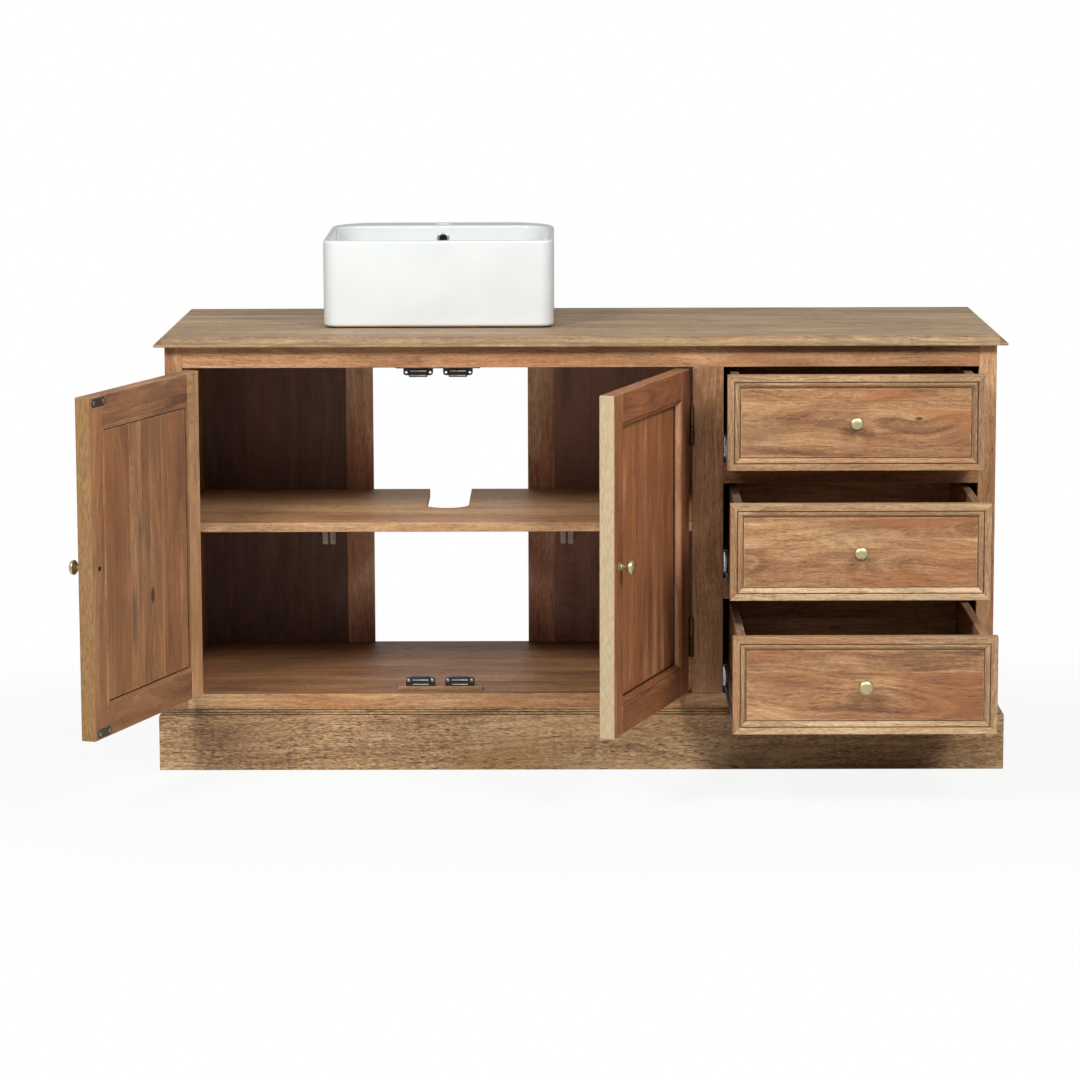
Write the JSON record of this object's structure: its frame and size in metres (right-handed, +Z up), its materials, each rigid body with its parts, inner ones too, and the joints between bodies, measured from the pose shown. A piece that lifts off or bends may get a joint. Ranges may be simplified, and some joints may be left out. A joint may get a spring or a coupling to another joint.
{
  "type": "vanity unit",
  "caption": "Freestanding wooden vanity unit with hinged cupboard doors beside a stack of sliding drawers, on a moulded plinth, under a worktop with a ceramic vessel basin.",
  "frame": {"origin": "on the floor at the unit's mid-width, under the middle of the front plinth board", "axes": "+X to the right as the unit is faced, +Y towards the wall behind it, +Z up"},
  "size_m": [1.7147, 1.0469, 1.0003],
  "materials": {
    "worktop_wood": "satin oiled grey-brown",
    "frame_wood": "satin oiled orange-brown",
    "front_wood": "satin oiled mid brown",
    "plinth_wood": "open-grained satin brown",
    "inner_wood": "satin dark brown",
    "white_ceramic": "gloss white glaze",
    "aged_brass": "aged satin brass",
    "runner_steel": "zinc plated",
    "catch_plastic": "matt black",
    "bracket_plastic": "matt pale grey"
  },
  "bodies": {
    "carcass": {"worktop": "worktop_wood", "side_panel_left": "frame_wood", "side_panel_right": "frame_wood", "partition_panel": "inner_wood", "floor_panel": "inner_wood", "stile_left": "frame_wood", "stile_centre": "frame_wood", "stile_right": "frame_wood", "rail_top": "frame_wood", "rail_bottom": "frame_wood", "drawer_rail_upper": "frame_wood", "drawer_rail_lower": "frame_wood", "back_stile_left": "inner_wood", "back_stile_right": "inner_wood", "back_panel_left": "inner_wood", "back_panel_right": "inner_wood", "plinth_front": "plinth_wood", "plinth_left": "plinth_wood", "plinth_right": "plinth_wood", "shelf": "inner_wood", "shelf_bracket_left": "bracket_plastic", "shelf_bracket_right": "bracket_plastic", "catch_pair_upper": "catch_plastic", "catch_pair_lower": "catch_plastic", "basin": "white_ceramic", "door_left_frame_leaf_upper": "aged_brass", "door_left_frame_leaf_lower": "aged_brass", "door_right_frame_leaf_upper": "aged_brass", "door_right_frame_leaf_lower": "aged_brass", "drawer_upper_cabinet_runner_left": "runner_steel", "drawer_upper_cabinet_runner_right": "runner_steel", "drawer_middle_cabinet_runner_left": "runner_steel", "drawer_middle_cabinet_runner_right": "runner_steel", "drawer_lower_cabinet_runner_left": "runner_steel", "drawer_lower_cabinet_runner_right": "runner_steel"},
    "door_left": {"door_left_frame": "front_wood", "door_left_panel": "front_wood", "door_left_knob": "aged_brass", "door_left_leaf_upper": "aged_brass", "door_left_leaf_lower": "aged_brass"},
    "door_right": {"door_right_frame": "front_wood", "door_right_panel": "front_wood", "door_right_knob": "aged_brass", "door_right_leaf_upper": "aged_brass", "door_right_leaf_lower": "aged_brass"},
    "drawer_upper": {"drawer_upper_front": "front_wood", "drawer_upper_box": "inner_wood", "drawer_upper_knob": "aged_brass", "drawer_upper_runner_left": "runner_steel", "drawer_upper_runner_right": "runner_steel"},
    "drawer_middle": {"drawer_middle_front": "front_wood", "drawer_middle_box": "inner_wood", "drawer_middle_knob": "aged_brass", "drawer_middle_runner_left": "runner_steel", "drawer_middle_runner_right": "runner_steel"},
    "drawer_lower": {"drawer_lower_front": "front_wood", "drawer_lower_box": "inner_wood", "drawer_lower_knob": "aged_brass", "drawer_lower_runner_left": "runner_steel", "drawer_lower_runner_right": "runner_steel"}
  },
  "joints": [
    {"name": "door_left_hinge", "type": "hinge", "parent": "carcass", "child": "door_left", "pos_m": [-0.7465, 0.0055, 0.4548], "axis": [0, 0, -1], "range_deg": [-108.5, 6.5]},
    {"name": "door_right_hinge", "type": "hinge", "parent": "carcass", "child": "door_right", "pos_m": [0.2095, 0.0055, 0.4548], "axis": [0, 0, 1], "range_deg": [-72, 18]},
    {"name": "drawer_upper_slide", "type": "slide", "parent": "carcass", "child": "drawer_upper", "axis": [0, -1, 0], "range_m": [-0.134, 0.296]},
    {"name": "drawer_middle_slide", "type": "slide", "parent": "carcass", "child": "drawer_middle", "axis": [0, -1, 0], "range_m": [-0.271, 0.159]},
    {"name": "drawer_lower_slide", "type": "slide", "parent": "carcass", "child": "drawer_lower", "axis": [0, -1, 0], "range_m": [-0.408, 0.022]}
  ]
}
